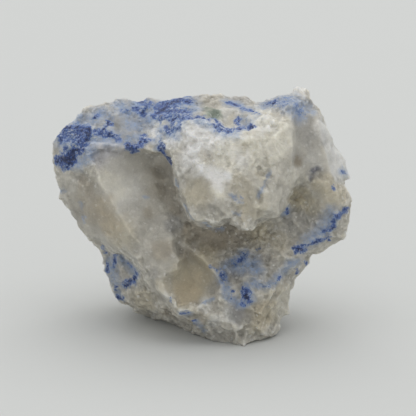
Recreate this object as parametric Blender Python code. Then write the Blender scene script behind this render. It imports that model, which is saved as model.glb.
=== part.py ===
"""A hand-sized lump of milky quartz with blue dumortierite in it, modelled as the one broken stone that it is.

The stone rests on a small flat patch of its underside. Its front was surveyed by eye from a little above it:
every surveyed point is (across, up, back) in millimetres. Across and up are measured from the foot of the
stone's front, square to the line of sight, and back is how far the point lies behind that foot. The far side is
a rounded dome that a few flat breaks cut off.
"""

import math

import bmesh
import bpy
from mathutils import Matrix, Vector, noise
from mathutils.geometry import delaunay_2d_cdt

MM = 0.001

# How the front was looked at when it was surveyed.
LOOK_DOWN = math.radians(18.0)
VIEW_DISTANCE = 450.0
SIGHT_LINE = (1.3, 23.0)

# The dome of the far side: its depth, and the rings that it is built from, as shares of the outline.
DOME_DEPTH = 19.0
DOME_MIDDLE = (0.5, 17.0, 5.5)
DOME_RINGS = (0.96, 0.87, 0.74)

# The even grid that the surface is laid on before it is roughened, and the triangles that are kept of it.
FINE_GRID = 0.36
FACES_KEPT = 9400

# The height at which the underside is cut flat, above the lowest surveyed point.
BASE_HEIGHT = -0.25

# The rim of the stone as seen from the front, clockwise from the left end of its top.
OUTLINE = [
    (-24.5, 35.8, 4.0), (-23.8, 37.0, 4.0), (-21.8, 38.1, 4.5), (-20.5, 39.3, 5.0), (-17.6, 40.7, 5.5),
    (-14.2, 41.6, 6.0), (-10.3, 41.3, 6.5), (-8.1, 41.5, 6.5), (-6.3, 40.9, 6.0), (-4.2, 41.8, 5.0),
    (-1.5, 41.9, 5.0), (2.3, 42.2, 5.0), (6.0, 41.7, 5.5), (7.5, 41.8, 5.5), (8.9, 40.9, 5.0),
    (10.3, 40.4, 2.0), (11.8, 41.4, 0.0), (13.5, 42.2, -0.5), (15.0, 42.2, 0.0), (15.3, 42.9, 1.0),
    (16.5, 43.3, 1.5), (18.2, 42.2, 2.0), (18.8, 40.6, 2.0), (20.4, 39.0, 2.5), (21.1, 37.2, 3.0),
    (22.3, 34.8, 3.0), (23.6, 33.0, 3.2), (24.9, 30.8, 3.4), (25.5, 28.2, 3.4), (23.9, 27.0, 2.5),
    (24.4, 26.5, 2.0), (25.6, 24.1, 2.2), (25.2, 21.2, 2.8), (24.6, 19.4, 3.2), (24.0, 17.8, 3.8),
    (21.2, 16.4, 4.0), (18.7, 14.9, 4.5), (18.4, 13.2, 5.0), (16.0, 10.8, 5.0), (15.2, 8.7, 5.0),
    (14.9, 5.3, 5.0), (13.5, 4.7, 4.6), (13.3, 2.4, 4.4), (12.2, 1.1, 3.6), (9.6, 0.3, 1.8),
    (7.5, -0.2, 0.2), (5.8, 0.1, 1.3), (3.0, 0.5, 2.5), (-0.2, 1.6, 5.5), (-2.9, 2.6, 8.6),
    (-5.0, 3.8, 11.5), (-8.0, 4.3, 12.5), (-11.0, 5.2, 12.5), (-12.5, 6.6, 12.0), (-13.7, 7.3, 11.5),
    (-14.7, 9.2, 11.0), (-15.1, 10.8, 10.5), (-16.1, 12.4, 10.0), (-16.2, 14.5, 9.5), (-17.0, 16.5, 6.5),
    (-18.8, 17.3, 5.0), (-20.6, 19.3, 4.8), (-21.0, 21.1, 4.7), (-22.5, 23.0, 4.6), (-24.1, 24.6, 4.6),
    (-23.6, 26.2, 4.6), (-24.0, 27.8, 4.6), (-24.8, 31.0, 4.4),
]

# The big block that stands out at the upper right, and the hollow that it overhangs.
BLOCK_LIP = [
    (-5.8, 33.0, -4.5), (-5.3, 31.7, -5.2), (-4.5, 30.5, -5.8), (-4.2, 28.3, -6.5), (-3.3, 25.0, -7.2),
    (-2.3, 23.0, -7.6), (-1.7, 21.3, -8.0), (-0.3, 20.7, -8.3), (1.0, 20.7, -8.6), (2.0, 20.0, -8.8),
    (3.3, 20.3, -8.6), (4.8, 21.3, -8.2), (6.0, 20.2, -8.0), (7.3, 19.5, -7.8), (8.7, 19.5, -7.5),
    (9.3, 20.2, -7.2), (10.5, 21.3, -6.6), (12.7, 21.5, -5.8), (13.8, 22.5, -5.3), (14.5, 24.3, -5.0),
    (15.3, 26.3, -4.6), (16.0, 28.0, -4.0),
]
UNDER_BLOCK = [
    (-6.5, 32.0, 0.4), (-5.2, 30.0, 1.4), (-4.8, 27.7, 1.8), (-4.0, 24.5, 1.6), (-2.8, 22.2, 1.0),
    (-2.2, 20.7, 1.0), (-0.5, 20.0, 1.6), (2.0, 19.3, 2.2), (4.7, 20.2, 2.4), (7.2, 18.8, 2.4),
    (9.0, 19.0, 2.2), (10.7, 20.7, 1.8), (12.8, 20.8, 1.5), (14.5, 22.0, 1.0), (15.2, 24.0, 0.6),
    (16.0, 25.7, -0.6), (17.0, 27.2, -1.8),
]
BLOCK_TOP = [
    (-4.7, 35.2, -3.8), (-3.3, 36.7, -4.6), (-1.3, 37.5, -5.0), (0.8, 37.7, -5.5), (2.2, 37.0, -6.0),
    (3.7, 35.8, -6.4), (4.9, 35.4, -6.5), (6.3, 35.8, -6.4), (8.4, 36.1, -6.2), (8.9, 37.2, -5.6),
    (8.5, 38.7, -4.2),
]
BLOCK_CORNER = [
    (15.0, 40.2, -3.4), (15.3, 37.7, -4.8), (15.6, 36.0, -5.5), (15.7, 33.5, -6.0), (15.4, 31.0, -6.0),
    (15.2, 29.6, -5.6),
]
NOSE_LEFT = [(-0.7, 30.5, -8.2), (1.3, 27.7, -8.9), (3.0, 24.9, -9.7)]
NOSE_RIGHT = [(6.3, 29.3, -8.6), (5.0, 26.7, -9.1)]
BLOCK_FACE = [
    (-1.7, 35.2, -6.3), (1.7, 35.0, -7.0), (4.7, 33.6, -7.5), (8.0, 34.3, -7.4), (10.3, 36.0, -6.6),
    (10.8, 38.5, -5.0), (13.3, 37.7, -5.6), (12.5, 34.3, -6.9), (-3.3, 32.7, -6.4), (-0.8, 32.9, -7.6),
    (2.2, 31.6, -7.9), (-2.4, 27.6, -7.6), (-0.9, 23.7, -8.5), (1.3, 22.3, -9.1), (7.5, 31.8, -7.9),
    (9.7, 30.0, -7.4), (8.4, 26.8, -8.5), (7.2, 23.3, -8.7), (9.7, 23.4, -8.0), (11.7, 26.0, -7.4),
    (12.4, 23.6, -6.9), (13.3, 29.0, -7.0), (13.0, 31.8, -7.2),
]

# The stone's top, behind the block: a groove, a low lump beyond it, and the slope at the left.
GROOVE = [
    (-2.6, 38.2, -2.8), (-1.2, 38.2, -3.4), (1.0, 38.3, -3.9), (3.2, 37.3, -4.1), (4.6, 36.3, -4.3),
    (7.0, 36.8, -4.2),
]
TOP_LUMP = [
    (2.0, 39.3, -1.0), (4.2, 40.0, 0.2), (6.8, 39.2, -1.4), (0.6, 40.5, 1.6), (4.0, 40.9, 2.4),
    (7.3, 40.5, 2.4),
]
TOP_SLOPE = [
    (-23.0, 34.3, 2.0), (-20.8, 35.4, 1.2), (-22.6, 31.6, 1.4), (-20.3, 32.5, 0.4), (-19.0, 35.0, 0.8),
    (-18.3, 38.0, 3.0), (-16.7, 36.0, 1.0), (-15.0, 39.0, 3.4), (-13.3, 35.3, 0.4), (-12.5, 38.5, 2.8),
    (-10.0, 36.2, 0.6), (-10.0, 39.3, 3.4), (-7.5, 34.4, -1.4), (-7.5, 38.0, 1.0), (-6.0, 36.2, -1.2),
    (-4.8, 39.0, 0.8), (-2.3, 39.8, 1.2), (-4.3, 37.4, -2.2),
]
SHOULDER = [(11.9, 39.8, -2.4), (13.8, 40.4, -2.8), (16.8, 40.6, -0.8), (16.7, 41.9, 0.6)]

# The smooth grey slab and the thin blade at the right.
SLAB_FOOT = [(16.1, 39.0, -2.2), (16.3, 36.8, -2.8), (16.4, 33.5, -3.2), (16.2, 30.7, -3.3), (16.9, 28.7, -3.0)]
SLAB_EDGE = [
    (19.4, 38.4, -0.6), (20.1, 36.4, -1.1), (20.3, 33.5, -1.5), (21.3, 32.0, -1.7), (21.8, 30.0, -1.9),
    (22.5, 28.0, -1.8),
]
BLADE_FOOT = [(20.6, 36.4, 0.5), (20.8, 33.7, 0.2), (21.8, 32.2, 0.0), (22.3, 30.2, -0.1), (23.0, 28.1, 0.2)]

# The cream knob under the blade, the hollow beside it, and the shelf that carries the lower blue vein.
KNOB = [
    (18.3, 27.2, -2.3), (20.8, 26.9, -2.6), (23.0, 26.2, -1.6), (23.4, 24.2, -1.2), (21.3, 23.6, -1.6),
    (19.2, 23.8, -0.9),
]
KNOB_HOLLOW = [(16.6, 25.0, 0.3), (17.7, 24.2, 0.2), (17.2, 22.3, 1.0)]
SHELF = [(20.0, 21.3, -0.5), (17.4, 19.8, 0.2), (14.6, 19.6, 1.6)]
VEIN_EDGE = [(23.8, 22.2, 0.0), (22.8, 20.2, 0.2), (20.8, 18.8, 0.2), (18.7, 17.3, 0.3), (16.4, 16.3, 0.5)]
BELOW_VEIN = [(22.2, 18.2, 2.0), (19.0, 16.2, 2.2), (16.8, 14.6, 2.0)]

# The dark hollow under the block, and the grey-blue ground below it.
HOLLOW_FLOOR = [(-0.2, 18.0, 2.8), (2.5, 17.4, 3.2), (5.0, 17.7, 3.0), (8.3, 17.6, 2.8), (11.7, 18.4, 2.4)]
GREY_GROUND = [
    (2.7, 15.4, 1.5), (5.8, 15.0, 0.8), (10.3, 15.7, 0.8), (13.8, 15.8, 0.8), (4.0, 13.0, -0.1),
    (6.7, 12.6, -0.3), (10.3, 12.3, -0.3), (13.7, 12.7, 0.5), (16.0, 13.0, 1.9), (5.2, 10.3, -0.7),
    (7.7, 9.0, -1.3), (11.3, 9.7, -0.5), (13.8, 9.3, 1.0),
]

# The smooth scooped break at the lower middle. Its left rib and its right brink stand in front of it.
SCOOP_RIB = [
    (-4.6, 17.4, -1.8), (-4.2, 15.8, -2.2), (-3.7, 14.4, -2.4), (-3.4, 12.9, -2.6), (-5.2, 11.9, -2.6),
    (-6.5, 11.6, -2.5), (-6.1, 10.1, -2.7), (-5.2, 8.7, -2.8), (-4.6, 7.4, -2.8), (-3.8, 6.2, -2.6),
    (-2.6, 5.9, -2.5), (-0.9, 6.0, -2.5), (0.3, 7.1, -2.4),
]
SCOOP_FLOOR = [
    (-3.8, 17.0, 0.8), (-3.3, 15.2, 0.9), (-2.7, 13.0, 0.6), (-4.3, 11.2, -0.6), (-5.4, 10.4, -1.6),
    (-4.2, 8.8, -1.4), (-1.8, 12.8, 1.4), (-1.2, 10.4, 0.9), (-2.8, 8.3, -0.5), (0.8, 9.6, 0.5),
    (-0.6, 7.6, -0.7), (-1.9, 15.2, 1.9), (-0.4, 13.7, 1.6), (1.3, 11.8, 1.0), (2.3, 10.2, 0.3),
    (1.7, 8.2, -0.6),
]
SCOOP_BRINK = [
    (-1.6, 16.3, 0.8), (0.0, 14.7, 0.0), (1.7, 13.0, -0.8), (2.8, 11.2, -1.3), (3.6, 9.2, -1.6),
    (3.5, 7.7, -1.8),
]

# The middle spur that runs down from the block's left side, ending in a bright rib.
SPUR = [
    (-5.8, 21.8, -0.5), (-4.7, 19.7, -0.8), (-6.7, 19.0, -1.6), (-3.2, 18.4, 0.8), (-8.3, 20.2, -1.0),
    (-10.0, 16.8, -2.1), (-7.5, 16.0, -2.3), (-5.8, 14.0, -2.4), (-8.3, 14.0, -1.8),
]
RIB_EDGE = [
    (-8.7, 12.4, -1.7), (-8.0, 10.8, -2.0), (-7.0, 9.2, -2.3), (-5.8, 8.0, -2.4), (-4.8, 6.7, -2.2),
    (-3.6, 5.2, -1.6),
]
BEHIND_RIB = [(-9.3, 11.4, 1.6), (-7.9, 9.2, 2.0), (-6.3, 7.5, 2.2), (-5.2, 6.0, 2.6), (-4.0, 4.4, 4.0)]

# The left wing: a shell-like break with a crest down its left side, and a dull face beyond the crest.
CREST = [
    (-18.7, 31.0, -0.8), (-17.2, 29.0, -1.9), (-16.8, 27.0, -2.3), (-15.7, 25.7, -2.6), (-14.7, 24.0, -2.8),
    (-13.8, 22.3, -3.0), (-12.7, 20.7, -3.0), (-11.7, 18.8, -2.9),
]
LEFT_OF_CREST = [
    (-19.5, 29.4, 0.2), (-18.1, 27.2, -0.4), (-17.0, 25.2, -0.9), (-15.9, 23.3, -1.3), (-15.1, 21.7, -1.5),
    (-14.1, 20.1, -1.7), (-13.0, 18.1, -1.8),
]
LEFT_FACE = [
    (-20.3, 28.2, 0.9), (-21.4, 26.0, 1.8), (-22.8, 28.8, 2.3), (-19.2, 23.5, 1.4), (-17.5, 20.2, 1.5),
    (-19.6, 20.9, 3.0), (-15.3, 18.4, 0.5), (-16.7, 18.6, 2.0),
]
SHELL_FACE = [
    (-15.8, 30.2, -0.8), (-13.3, 30.2, -0.3), (-10.0, 30.2, 0.4), (-8.0, 30.2, 1.4), (-13.3, 26.8, -1.0),
    (-10.0, 26.8, -0.2), (-7.5, 27.7, 1.1), (-11.7, 23.5, -1.8), (-8.7, 23.5, -0.6), (-10.0, 20.7, -2.1),
    (-6.7, 24.3, 0.6), (-6.7, 29.0, 2.7), (-5.8, 26.3, 2.3),
]
SHELL_BROW = [
    (-18.7, 33.0, -0.3), (-16.7, 33.3, -0.7), (-14.7, 33.4, -0.9), (-12.2, 32.9, -1.3), (-9.5, 32.9, -1.7),
    (-8.0, 32.3, -2.1), (-6.9, 32.5, -2.7),
]
UNDER_BROW = [(-17.6, 32.4, 0.0), (-14.7, 32.4, -0.2), (-12.0, 31.9, 0.0), (-9.5, 31.9, 0.6), (-7.9, 31.4, 1.1)]
WING_SKIRT = [(-16.3, 16.9, 3.6), (-13.8, 16.1, 0.4), (-11.7, 15.2, -0.6), (-10.2, 13.5, -1.0)]

# The low lump under the wing, set well back.
BEHIND_SKIRT = [(-15.8, 15.8, 8.2), (-13.9, 15.2, 6.4), (-12.4, 14.2, 5.6), (-10.9, 12.3, 4.6)]
LOW_LUMP = [
    (-15.2, 14.0, 8.4), (-13.3, 12.9, 6.8), (-11.7, 11.8, 5.6), (-14.2, 11.0, 8.4), (-12.2, 10.2, 6.7),
    (-10.6, 10.3, 5.6), (-13.2, 8.6, 9.6), (-11.7, 8.0, 7.7), (-9.2, 9.5, 4.4), (-9.5, 7.6, 5.9),
    (-7.5, 6.2, 6.4), (-10.0, 6.2, 9.6), (-5.6, 4.8, 7.6),
]

# The foot of the stone.
FOOT_RIDGE = [
    (-1.6, 5.0, -0.8), (0.0, 5.7, -1.6), (1.5, 5.0, -1.6), (3.2, 4.2, -1.5), (4.8, 3.5, -1.4),
    (6.3, 3.0, -1.1),
]
FOOT = [
    (-1.0, 3.6, 1.8), (0.8, 3.2, 1.0), (3.7, 2.2, 0.6), (6.0, 1.4, 0.2), (2.0, 6.8, -1.4),
    (4.7, 6.0, -1.3), (7.5, 5.7, -0.9), (8.3, 3.4, -0.8), (10.3, 4.7, -0.3), (10.3, 2.4, 0.8),
    (12.0, 6.0, 0.8), (13.0, 7.3, 1.6), (6.7, 7.2, -1.1), (9.7, 7.2, -0.5),
]

# What runs as an edge, and what are single points of a face.
FRONT_EDGES = [
    BLOCK_LIP, UNDER_BLOCK, BLOCK_TOP, BLOCK_CORNER, NOSE_LEFT, NOSE_RIGHT, GROOVE, SLAB_FOOT, SLAB_EDGE,
    BLADE_FOOT, VEIN_EDGE, SCOOP_RIB, SCOOP_BRINK, RIB_EDGE, BEHIND_RIB, CREST, LEFT_OF_CREST, SHELL_BROW,
    UNDER_BROW, WING_SKIRT, BEHIND_SKIRT, FOOT_RIDGE,
]
FRONT_FACES = [
    BLOCK_FACE, TOP_LUMP, TOP_SLOPE, SHOULDER, KNOB, KNOB_HOLLOW, SHELF, BELOW_VEIN, HOLLOW_FLOOR,
    GREY_GROUND, SCOOP_FLOOR, SPUR, LEFT_FACE, SHELL_FACE, LOW_LUMP, FOOT,
]

# The middle of the far side: a ledge runs across it, and the ground below the ledge lies deeper in the stone.
FAR_LEDGE = [(-13.0, 27.0, 20.0), (-7.0, 24.6, 21.5), (-1.0, 25.6, 21.8), (5.0, 23.0, 22.0), (11.5, 24.4, 20.5)]
FAR_STEP = [(-13.0, 25.9, 18.2), (-7.0, 23.5, 19.2), (-1.0, 24.5, 19.4), (5.0, 21.9, 19.7), (11.5, 23.4, 18.4)]
FAR_FACE = [
    (-10.0, 31.0, 20.0), (0.0, 31.5, 20.8), (9.0, 31.0, 20.0), (-10.5, 19.5, 17.8), (-9.5, 14.0, 18.0),
    (-1.0, 18.5, 18.8), (0.5, 12.0, 19.6), (8.0, 17.5, 18.8), (9.5, 12.5, 18.6), (-4.0, 8.5, 18.8),
    (5.0, 8.0, 19.2),
]

# The flat breaks of the far side: a point on each and the way that it faces, in upright millimetres.
FAR_BREAKS = [
    ((0.0, 26.2, 20.0), (0.10, 1.0, 0.06)),
    ((-15.0, 23.0, 22.0), (-0.60, 0.79, 0.10)),
    ((17.5, 21.5, 22.0), (0.78, 0.62, -0.08)),
    ((0.0, 21.5, 37.5), (0.05, 0.60, 0.80)),
    ((2.0, 22.5, 4.0), (0.06, 0.78, -0.62)),
    ((-13.5, 19.0, 5.0), (-0.62, 0.35, -0.70)),
    ((16.5, 15.0, 8.5), (0.74, 0.42, -0.52)),
    ((13.0, 24.5, 34.0), (0.42, 0.66, 0.62)),
    ((-10.5, 24.6, 31.5), (-0.30, 0.80, 0.52)),
]

# The broken grain: lumps with flat tops, each size as its width and height. Every lump has a level and a tilt
# of its own, which are the given shares of that height.
LUMPS = [(4.6, 0.38), (2.1, 0.20)]
LEVEL_SHARE = 0.6
TILT_SHARE = 1.2

# The lumps' edges aren't straight: they wander sideways by up to WANDER, in bends about WANDER_WIDTH long.
WANDER_WIDTH = 4.2
WANDER = 1.2

# The points were surveyed on the tops of the lumps, so the whole surface is taken back in by this much.
GRAIN_SINK = 0.28

# The levels, the tilts and the bends are read from the noise this far apart, so that none follows another.
LEVEL_STEP = 9.7
TILT_STEP = 5.3
BEND_STEPS = (0.0, 17.3, 41.9)

# The smooth breaks, where the grain hardly shows: the middle of each, its radius, and the share of the grain
# that is left there. The grain fades out over the outer part of the radius, a third of it with a FADE of 3.
FADE = 3.0
SMOOTH_BREAKS = [
    ((-11.0, 26.5, 0.0), 7.5, 0.35),
    ((-1.5, 11.5, 0.0), 4.5, 0.25),
    ((17.8, 33.5, -2.5), 5.5, 0.35),
    ((-6.5, 14.5, -2.0), 3.5, 0.4),
    ((-18.0, 22.5, 1.0), 5.0, 0.5),
    ((2.8, 28.0, -8.7), 5.0, 0.5),
]

# The colour of the quartz, and how dull its broken faces are.
MILKY = (0.50, 0.49, 0.45)
DULL = 0.5


def upright(across, up, back):
    """A surveyed point as (x, y, z) in millimetres. The line of sight runs through SIGHT_LINE."""
    spread = 1.0 + back / VIEW_DISTANCE
    x = SIGHT_LINE[0] + (across - SIGHT_LINE[0]) * spread
    rise = SIGHT_LINE[1] + (up - SIGHT_LINE[1]) * spread
    return Vector((
        x,
        rise * math.sin(LOOK_DOWN) + back * math.cos(LOOK_DOWN),
        rise * math.cos(LOOK_DOWN) - back * math.sin(LOOK_DOWN),
    ))


def far_flank():
    """The points of the dome between the outline and the middle of the far side, as surveyed points."""
    points = []
    for share in DOME_RINGS:
        for rim in OUTLINE[::2]:
            across, up, back = (m + (r - m) * share for m, r in zip(DOME_MIDDLE, rim))
            points.append((across, up, back + DOME_DEPTH * math.sqrt(1.0 - share * share)))
    return points


def sheet(edges, loose):
    """The triangles inside the outline, through the given edges and loose points: (points, triangles)."""
    points = list(OUTLINE)
    around = range(len(OUTLINE))
    lines = [(i, (i + 1) % len(OUTLINE)) for i in around]
    for edge in edges:
        first = len(points)
        points += edge
        lines += [(first + i, first + i + 1) for i in range(len(edge) - 1)]
    points += loose
    flat = [Vector(p[:2]) for p in points]
    made = delaunay_2d_cdt(flat, lines, [list(around)], 1, 1e-6)
    if len(made[0]) != len(points):
        raise ValueError("two surveyed edges cross, or two points are the same")
    names = [found[0] for found in made[3]]
    return points, [[names[i] for i in face] for face in made[2]]


def rough_stone():
    """The stone with flat facets between the surveyed points, as a bmesh in upright millimetres."""
    front, front_faces = sheet(FRONT_EDGES, [p for face in FRONT_FACES for p in face])
    far, far_faces = sheet([FAR_LEDGE, FAR_STEP], far_flank() + FAR_FACE)
    stone = bmesh.new()
    front_verts = [stone.verts.new(upright(*p)) for p in front]
    far_verts = front_verts[: len(OUTLINE)] + [stone.verts.new(upright(*p)) for p in far[len(OUTLINE):]]
    for verts, faces in ((front_verts, front_faces), (far_verts, far_faces)):
        for face in faces:
            corners = [verts[i] for i in face]
            if stone.faces.get(corners) is None:
                stone.faces.new(corners)
    bmesh.ops.recalc_face_normals(stone, faces=stone.faces)
    return stone


def cut_flat(stone, point, facing):
    """Breaks the stone off flat: what lies beyond the plane through point goes, and a face closes the cut."""
    everything = stone.verts[:] + stone.edges[:] + stone.faces[:]
    cut = bmesh.ops.bisect_plane(stone, geom=everything, plane_co=point, plane_no=facing, clear_outer=True)
    rim = [e for e in cut["geom_cut"] if isinstance(e, bmesh.types.BMEdge)]
    bmesh.ops.holes_fill(stone, edges=rim, sides=0)


def object_of(name, stone):
    """Turns a bmesh in millimetres into an object in metres."""
    mesh = bpy.data.meshes.new(name)
    bmesh.ops.transform(stone, matrix=Matrix.Scale(MM, 4), verts=stone.verts)
    stone.to_mesh(mesh)
    stone.free()
    made = bpy.data.objects.new(name, mesh)
    bpy.context.scene.collection.objects.link(made)
    return made


def finished(made, kind, **settings):
    """Puts one modifier on an object and applies it."""
    modifier = made.modifiers.new(kind.title(), kind)
    for key, value in settings.items():
        setattr(modifier, key, value)
    graph = bpy.context.evaluated_depsgraph_get()
    mesh = bpy.data.meshes.new_from_object(made.evaluated_get(graph))
    made.modifiers.clear()
    made.data = mesh


def bend(place):
    """A smooth sideways push at a place, each way from about -1 to 1."""
    spots = (place / WANDER_WIDTH + Vector((step, -step, 2.0 * step)) for step in BEND_STEPS)
    return Vector([noise.noise(spot) for spot in spots])


def lump_height(place, width):
    """How high the broken grain stands at a place, from about -1 to 1."""
    here = place / width
    centre = noise.voronoi(here)[1][0]
    level = noise.cell(centre * LEVEL_STEP)
    tilt = noise.cell_vector(centre * TILT_STEP) - Vector((0.5, 0.5, 0.5))
    return LEVEL_SHARE * level + TILT_SHARE * tilt.dot(here - centre)


def grain_left(place):
    """The share of the broken grain that shows at a place: all of it away from the smooth breaks."""
    share = 1.0
    for middle, radius, left in SMOOTH_BREAKS:
        near = 1.0 - (place - upright(*middle)).length / radius
        if near > 0.0:
            share = min(share, 1.0 + (left - 1.0) * min(1.0, near * FADE))
    return share


def roughen(made):
    """Pushes the surface in and out by the broken grain."""
    outward = [vert.normal.copy() for vert in made.data.vertices]
    for vert, normal in zip(made.data.vertices, outward):
        place = vert.co / MM
        bent = place + bend(place) * WANDER
        height = sum(lump_height(bent, width) * rise for width, rise in LUMPS) * grain_left(place)
        vert.co += normal * (height - GRAIN_SINK) * MM


def piece_of(seed):
    """Every face that can be reached from one face over shared edges."""
    piece = {seed}
    edge_of_piece = [seed]
    while edge_of_piece:
        face = edge_of_piece.pop()
        fresh = {beside for edge in face.edges for beside in edge.link_faces} - piece
        piece |= fresh
        edge_of_piece += fresh
    return piece


def set_on_base(made):
    """Cuts the flat patch that the stone rests on, and stands the stone on the middle of z = 0."""
    solid = bmesh.new()
    solid.from_mesh(made.data)
    highest = max(solid.faces, key=lambda face: face.calc_center_median().z)
    cut_flat(solid, (0.0, 0.0, BASE_HEIGHT * MM), (0.0, 0.0, -1.0))
    # A dimple of the underside is closed off by the flat patch, and goes.
    crumbs = set(solid.faces) - piece_of(highest)
    bmesh.ops.delete(solid, geom=list({vert for face in crumbs for vert in face.verts}), context="VERTS")
    bmesh.ops.triangulate(solid, faces=solid.faces)
    low = Vector([min(vert.co[axis] for vert in solid.verts) for axis in range(3)])
    high = Vector([max(vert.co[axis] for vert in solid.verts) for axis in range(3)])
    middle = (low + high) / 2.0
    bmesh.ops.translate(solid, verts=solid.verts, vec=(-middle.x, -middle.y, -low.z))
    solid.to_mesh(made.data)
    solid.free()


def quartz():
    """Milky quartz. The blue of the dumortierite is colour in the quartz, so it has no shape of its own."""
    material = bpy.data.materials.new("milky_quartz")
    material.use_nodes = True
    surface = material.node_tree.nodes["Principled BSDF"]
    surface.inputs["Base Color"].default_value = (*MILKY, 1.0)
    surface.inputs["Roughness"].default_value = DULL
    surface.inputs["Metallic"].default_value = 0.0
    return material


def build():
    """Makes the whole stone in an empty scene."""
    for old in list(bpy.data.objects):
        bpy.data.objects.remove(old)
    stone = rough_stone()
    for point, facing in FAR_BREAKS:
        cut_flat(stone, point, facing)
    made = object_of("quartz_stone", stone)
    finished(made, "REMESH", mode="VOXEL", voxel_size=FINE_GRID * MM)
    roughen(made)
    finished(made, "DECIMATE", ratio=FACES_KEPT / (2.0 * len(made.data.polygons)))
    set_on_base(made)
    made.data.materials.append(quartz())


build()
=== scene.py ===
"""A hand-sized lump of milky quartz with blue dumortierite in it, standing on a pale table top.

Lengths on the stone are in millimetres, and become metres where Blender takes them. The table top and the
lamp are in metres. Places on the stone's front are given as they are seen: across and up from the tip of its
foot, square to the line of sight.
"""

import math

import bmesh
import bpy
import numpy as np
from mathutils import Matrix, Vector, noise
from mathutils.bvhtree import BVHTree


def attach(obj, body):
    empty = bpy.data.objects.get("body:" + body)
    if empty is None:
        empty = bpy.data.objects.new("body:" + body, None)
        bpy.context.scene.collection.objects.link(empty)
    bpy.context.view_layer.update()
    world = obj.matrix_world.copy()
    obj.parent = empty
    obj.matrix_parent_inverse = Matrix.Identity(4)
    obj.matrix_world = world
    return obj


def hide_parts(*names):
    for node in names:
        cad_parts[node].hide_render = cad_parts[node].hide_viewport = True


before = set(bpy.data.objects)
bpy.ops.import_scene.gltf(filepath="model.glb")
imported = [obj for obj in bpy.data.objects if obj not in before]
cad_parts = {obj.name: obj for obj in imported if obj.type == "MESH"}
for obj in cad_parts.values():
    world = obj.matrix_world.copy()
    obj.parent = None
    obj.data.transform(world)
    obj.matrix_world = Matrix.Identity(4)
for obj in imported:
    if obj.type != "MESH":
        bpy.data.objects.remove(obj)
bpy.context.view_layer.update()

# The stone: its broken skin.
# One lump of quartz, broken out of its vein with a hammer. Where it was sound it broke in smooth shells, and
# where it was cracked it has a sugary grain. The solid gives the shape, and the skin is broken up here.

MM = 0.001
SKIN_GRID = 0.23
SKIN_TRIANGLES = 190000
# Corners of the solid that are no further apart than this are one corner.
SAME_CORNER = 0.005
# The view from the front: the tip of the foot, how steeply the eye looks down and how far off it is, and
# where its line of sight meets the stone, across and up from the foot.
FOOT = Vector((-0.236, -12.722, 0.250))
LOOK_DOWN = math.radians(18.0)
VIEW_DISTANCE = 450.0
SIGHT_LINE = (1.3, 23.0)
# How much the depth counts where the distance between two places is measured.
BACK_SHARE = 0.4
TOWARDS_VIEWER = Vector((0.0, -math.cos(LOOK_DOWN), math.sin(LOOK_DOWN)))
PICTURE_UP = Vector((0.0, math.sin(LOOK_DOWN), math.cos(LOOK_DOWN)))
EYE = FOOT + Vector((SIGHT_LINE[0], 0.0, 0.0)) + PICTURE_UP * SIGHT_LINE[1] + TOWARDS_VIEWER * VIEW_DISTANCE


def remeshed(source, grid):
    """A new object with the closed surface of another, made of even quads of the given size."""
    whole = bmesh.new()
    whole.from_mesh(source.data)
    bmesh.ops.remove_doubles(whole, verts=whole.verts, dist=SAME_CORNER * MM)
    mesh = bpy.data.meshes.new("stone")
    whole.to_mesh(mesh)
    whole.free()
    made = bpy.data.objects.new("stone", mesh)
    bpy.context.scene.collection.objects.link(made)
    remesh = made.modifiers.new("even", "REMESH")
    remesh.mode = "VOXEL"
    remesh.voxel_size = grid * MM
    settle(made)
    return made


def settle(made):
    """Lets the modifiers of an object act on its mesh for good."""
    graph = bpy.context.evaluated_depsgraph_get()
    made.data = bpy.data.meshes.new_from_object(made.evaluated_get(graph))
    made.modifiers.clear()


def skin_of(made):
    """The points of an object in millimetres, the way each faces, and the surface to look for places on."""
    points = np.empty(len(made.data.vertices) * 3)
    made.data.vertices.foreach_get("co", points)
    points = points.reshape(-1, 3) / MM
    faces = [face.vertices[:] for face in made.data.polygons]
    normals = np.array([vert.normal[:] for vert in made.data.vertices])
    return points, normals, BVHTree.FromPolygons([Vector(point) for point in points], faces)


stone = remeshed(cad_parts["quartz_stone"], SKIN_GRID)
spots, facing, surface = skin_of(stone)


def seen(points):
    """Points as they are seen from the front: across, up, and a share of how far back they lie."""
    from_eye = np.asarray(points) - np.array(EYE)
    back = -from_eye @ np.array(TOWARDS_VIEWER)
    across = from_eye[..., 0] * VIEW_DISTANCE / back + SIGHT_LINE[0]
    up = from_eye @ np.array(PICTURE_UP) * VIEW_DISTANCE / back + SIGHT_LINE[1]
    return np.stack([across, up, BACK_SHARE * (back - VIEW_DISTANCE)], axis=-1)


def on_front(across, up):
    """The place on the stone's front that is seen at across and up."""
    aim = FOOT + Vector((across, 0.0, 0.0)) + PICTURE_UP * up
    hit = surface.ray_cast(EYE, (aim - EYE).normalized())[0]
    if hit is None:
        hit = surface.find_nearest(aim)[0]
    return seen(hit)


# How far behind the stone's middle the look from behind starts, and about where the far side is.
BEHIND = 100.0
FAR_SIDE = 10.0


def on_back(across, up):
    """The place on the stone's far side that is across from its middle and up from the table."""
    hit = surface.ray_cast(Vector((across, BEHIND, up)), Vector((0.0, -1.0, 0.0)))[0]
    if hit is None:
        hit = surface.find_nearest(Vector((across, FAR_SIDE, up)))[0]
    return seen(hit)


# Places far apart in the noise, one for each way that a point is pushed.
NOISE_PLACES = [(0.0, 0.0, 0.0), (31.7, -9.1, 4.3), (-12.9, 23.3, 51.1)]


def bent(width, amount):
    """Every point of the skin, pushed about smoothly, so that what is measured from it has ragged edges."""
    pushed = []
    for x, y, z in spots / width:
        pushed.append([noise.noise((x + right, y + back, z + high)) for right, back, high in NOISE_PLACES])
    return seen(spots + np.array(pushed) * amount)


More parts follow.
